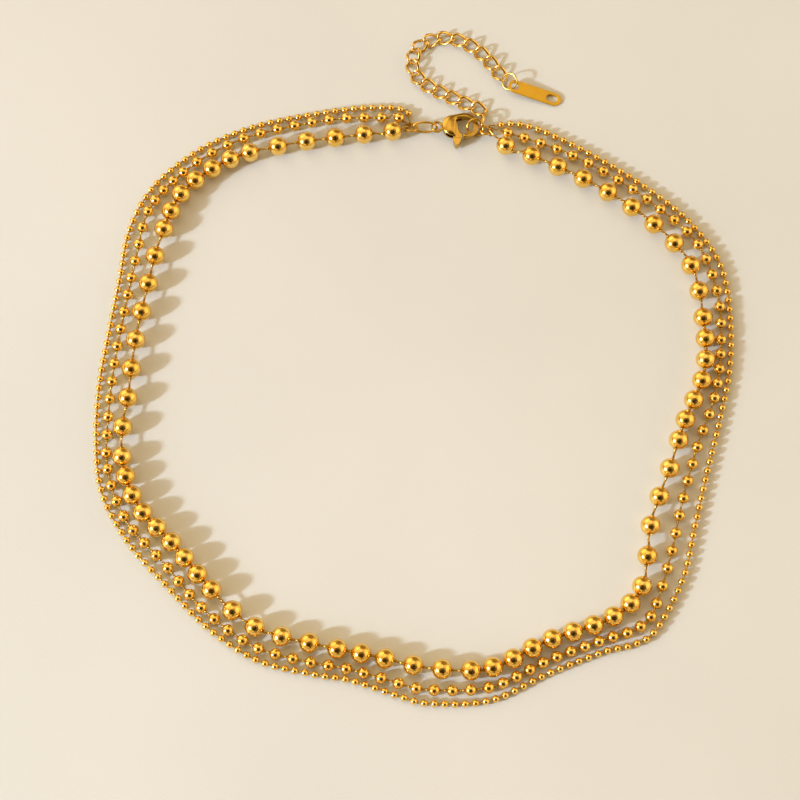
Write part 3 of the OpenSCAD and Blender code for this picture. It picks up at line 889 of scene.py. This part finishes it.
link_half_len = (LINK_PITCH + LINK_WIRE) / 2 + LINK_PLAY
link_rise = (LINK_W - LINK_WIRE) / 4
link_shares = np.arange(LINKS) / (LINKS - 1)
link_places = points_at(smooth(EXTENDER_ROUTE), link_shares, link_rise + LINK_WIRE / 2)
link = oval(link_half_len, (LINK_W - LINK_WIRE) / 2, -link_rise, LINK_WIRE, LINK_BROAD)
for i in range(LINKS):
    before = link_places[i - 1][:2] if i else LINK_START
    after = link_places[min(i + 1, LINKS - 1)][:2]
    heading = math.degrees(math.atan2(after[1] - before[1], after[0] - before[0]))
    turned_link = laid(link, link_places[i], ("Z", heading))
    name = f"extender_link_{i + 1:02d}"
    piece(name + "_bright", [turned_link], LINK_GOLD, "link_gold", NECKLACE, name)

# %% [markdown]
# ## Clasp
# A lobster clasp is cast in one piece round a slot, and a flat lever turns on a pin inside it.
# Casting and tumbling leave no sharp edge. The solid already has the right outline, so its mesh is
# copied, rebuilt in small even cells and smoothed: that rounds every edge by about a tenth of a
# millimetre. The body's two faces are also rounded over towards its walls. A bevel would stumble
# over the solid's many thin triangles.

# %% Finish of the clasp
def clasp_gold():
    material, tree, shader = finish("clasp_gold", 1.0)
    at = place(tree)
    cloud = noise(tree, at, 1.5 * MM, 3.0)
    grain = noise(tree, stretched(tree, at, 0.4, (1.0, 5.0, 1.0)), 0.16 * MM, 3.0, 0.6)
    bright, deep = (0.64, 0.42, 0.09, 1), (0.52, 0.32, 0.055, 1)
    colour = mix(tree, spread(tree, cloud, 0.3, 0.75), bright, deep)
    roughness = 0.11 + 0.09 * spread(tree, grain, 0.4, 0.75)
    join(tree, shader, colour, roughness, cloud + 0.1 * grain, 0.01 * MM)
    return material


CLASP_GOLD = clasp_gold()
print("finish:", CLASP_GOLD.name)


# %% Rounding two faces over towards their walls
# A point is on a wall where its normal rises by less than the slant, and where it lies further from
# the middle than that share of the edge height
WALL_SLANT = 0.35
WALL_FROM = 0.85


def domed(mesh, middle, edge, reach):
    """Rounds both faces over: down to the edge height at a wall, flat past the reach from it."""
    points = np.empty(len(mesh.vertices) * 3)
    ups = np.empty(len(mesh.vertices) * 3)
    mesh.vertices.foreach_get("co", points)
    mesh.vertices.foreach_get("normal", ups)
    points = points.reshape(-1, 3)
    rise = points[:, 2] - middle
    steep = np.abs(ups.reshape(-1, 3)[:, 2]) < WALL_SLANT
    walls = points[steep & (np.abs(rise) > edge * WALL_FROM)]
    tree = kdtree.KDTree(len(walls))
    for i, (x, y, _) in enumerate(walls):
        tree.insert((x, y, 0), i)
    tree.balance()
    for i in np.flatnonzero(np.abs(rise) > edge):
        inward = min(1.0, tree.find((points[i, 0], points[i, 1], 0))[2] / reach)
        share = math.sqrt(1 - (1 - inward) ** 2)
        points[i, 2] = middle + math.copysign(edge + (abs(rise[i]) - edge) * share, rise[i])
    mesh.vertices.foreach_set("co", points.ravel())
    mesh.update()


print("walls are steeper than", round(90 - math.degrees(math.asin(WALL_SLANT))), "degrees")

# %% Rebuilding and smoothing a copied solid
SMOOTHING = 0.5


def as_mesh(made):
    """The mesh that an object's modifiers or its bevel leave it with. The object is removed."""
    bpy.context.view_layer.update()
    depsgraph = bpy.context.evaluated_depsgraph_get()
    mesh = bpy.data.meshes.new_from_object(made.evaluated_get(depsgraph))
    bpy.data.objects.remove(made)
    return mesh


def tumbled(mesh, rounds, cell=None):
    """The mesh smoothed for so many rounds, first rebuilt in cells of that size if one is given."""
    rough = in_scene("rough", mesh)
    if cell:
        cells = rough.modifiers.new("cells", "REMESH")
        cells.mode = "VOXEL"
        cells.voxel_size = cell
    relax = rough.modifiers.new("relax", "SMOOTH")
    relax.factor = SMOOTHING
    relax.iterations = rounds
    return as_mesh(rough)


def cast(name, node_name, body, cell, rounds, dome=None):
    """A copy of a solid, rebuilt in cells of so many millimetres, smoothed, and domed if asked."""
    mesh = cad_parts[node_name].data.copy()
    mesh.transform(Matrix.Scale(1 / MM, 4))
    mesh = tumbled(mesh, rounds, cell)
    if dome:
        domed(mesh, *dome)
        mesh = tumbled(mesh, rounds)
    mesh.transform(Matrix.Scale(MM, 4))
    mesh.shade_smooth()
    return settle(name, mesh, CLASP_GOLD, "clasp_gold", body, node_name)


print("a round of smoothing goes", SMOOTHING, "of the way to the middle of a point's neighbours")

# %% The clasp's body and its lever
# In millimetres: the height of the clasp's middle, what is left of its half thickness at a wall,
# and how far in from a wall its faces are rounded
CLASP_MIDDLE = 0.15 + 2.6 / 2
EDGE_HEIGHT = 0.72
DOME_REACH = 1.5
dome = (CLASP_MIDDLE, EDGE_HEIGHT, DOME_REACH)

cast("clasp_body_cast", "clasp_body", NECKLACE, cell=0.06, rounds=16, dome=dome)
cast("clasp_lever_cast", "clasp_lever", LEVER, cell=0.045, rounds=32)

# %% [markdown]
# ## Tag
# A plain bar stamped from sheet hangs from a thin ring. Stamping rolls its edges slightly, and the
# face is brushed along its length. A flat curve with holes, extruded and bevelled, makes such a
# plate in a few lines.

# %% Finish of the tag
TAG_TURN = -18


def tag_gold():
    material, tree, shader = finish("tag_gold", 1.0)
    at = place(tree)
    cloud = noise(tree, at, 2.5 * MM, 2.0)
    along = stretched(tree, at, math.radians(-TAG_TURN), (0.12, 1.0, 1.0))
    strokes = noise(tree, along, 0.07 * MM, 3.0, 0.6)
    bright, deep = (0.76, 0.475, 0.052, 1), (0.70, 0.43, 0.047, 1)
    colour = mix(tree, spread(tree, cloud, 0.3, 0.7), bright, deep)
    roughness = 0.30 + 0.08 * spread(tree, strokes, 0.35, 0.7)
    join(tree, shader, colour, roughness, strokes + 0.5 * cloud, 0.0016 * MM)
    return material


TAG_GOLD = tag_gold()
print("finish:", TAG_GOLD.name)

# %% The tag's ring
TAG_RING_D = 3.8 * MM
TAG_RING_WIRE = 0.35 * MM
TAG_RING_BROAD = 1.25
TAG_RING_LEAN = 38
TAG_RING_TURN = -46

tag_ring_rise = ring_rise(TAG_RING_D, TAG_RING_WIRE, TAG_RING_LEAN)
tag_ring_at = np.array([20.6 * MM, 63.56 * MM, tag_ring_rise])
tag_ring = round_ring(TAG_RING_D, TAG_RING_WIRE, TAG_RING_BROAD)
tag_ring = laid(tag_ring, tag_ring_at, ("Z", TAG_RING_TURN), ("X", TAG_RING_LEAN))
ring_piece("tag_ring_deep", "tag_ring", tag_ring, DEEP_RING_GOLD)

# %% The plate's place: its hole hangs on the ring, and its far end dips to the floor
TAG_LEN = 12 * MM
TAG_T = 0.5 * MM
HOLE_IN = 1.5 * MM

hole_turn = math.radians(TAG_RING_TURN)
to_hole = np.array([math.cos(hole_turn), math.sin(hole_turn), 0])
tag_hole_at = tag_ring_at + (TAG_RING_D - TAG_RING_WIRE) / 2 * to_hole
tag_dip = math.asin((tag_hole_at[2] - TAG_T / 2) / (TAG_LEN - HOLE_IN))
print("the tag dips by", round(math.degrees(tag_dip), 1), "degrees")


# %% The plate's outline, its hole and its slot
TAG_W = 3 * MM
TAG_HOLE_D = 1.7 * MM
TAG_SLOT_LEN = 2.6 * MM
TAG_SLOT_W = 1.6 * MM


def slot_outline(left, right, d, steps=40):
    """Points of a long hole or bar with round ends, whose end circles sit at left and right."""
    t = np.linspace(-math.pi / 2, math.pi / 2, steps)
    ends = [(right, t), (left, t + math.pi)]
    return [(x + d / 2 * math.cos(a), d / 2 * math.sin(a)) for x, angles in ends for a in angles]


far = TAG_LEN - TAG_W / 2 - HOLE_IN
outlines = [
    slot_outline(TAG_W / 2 - HOLE_IN, far, TAG_W),
    slot_outline(0, 0, TAG_HOLE_D),
    slot_outline(far - TAG_SLOT_LEN + TAG_SLOT_W, far, TAG_SLOT_W),
]
print("outline points:", [len(outline) for outline in outlines])

# %% The plate, extruded and bevelled
TAG_EDGE = 0.09 * MM
EDGE_STEPS = 3

flat = bpy.data.curves.new("tag_outline", "CURVE")
flat.dimensions = "2D"
flat.fill_mode = "BOTH"
flat.extrude = (TAG_T / 2 - TAG_EDGE) / MM
flat.bevel_depth = TAG_EDGE / MM
flat.bevel_resolution = EDGE_STEPS
flat.offset = -TAG_EDGE / MM
for outline in outlines:
    spline = flat.splines.new("POLY")
    spline.points.add(len(outline) - 1)
    spline.use_cyclic_u = True
    for point, (x, y) in zip(spline.points, outline):
        point.co = (x / MM, y / MM, 0, 1)
tag_mesh = as_mesh(in_scene("tag_outline", flat))
tag_mesh.transform(
    Matrix.Translation(tag_hole_at.tolist())
    @ Matrix.Rotation(math.radians(TAG_TURN), 4, "Z")
    @ Matrix.Rotation(tag_dip, 4, "Y")
    @ Matrix.Scale(MM, 4)
)
settle("tag_plate", tag_mesh, TAG_GOLD, "tag_gold", NECKLACE, "tag")

# %% [markdown]
# ## Sizes
# The dressed necklace has to stay in the solids' box, so how far it reaches beyond that box is
# printed for each axis.

# %% Compare the boxes and finish
low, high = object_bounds()
for axis, name in enumerate("xyz"):
    beyond = (low[axis] - cad_low[axis], high[axis] - cad_high[axis])
    print(name, [round(b / MM, 3) for b in beyond], "mm beyond")
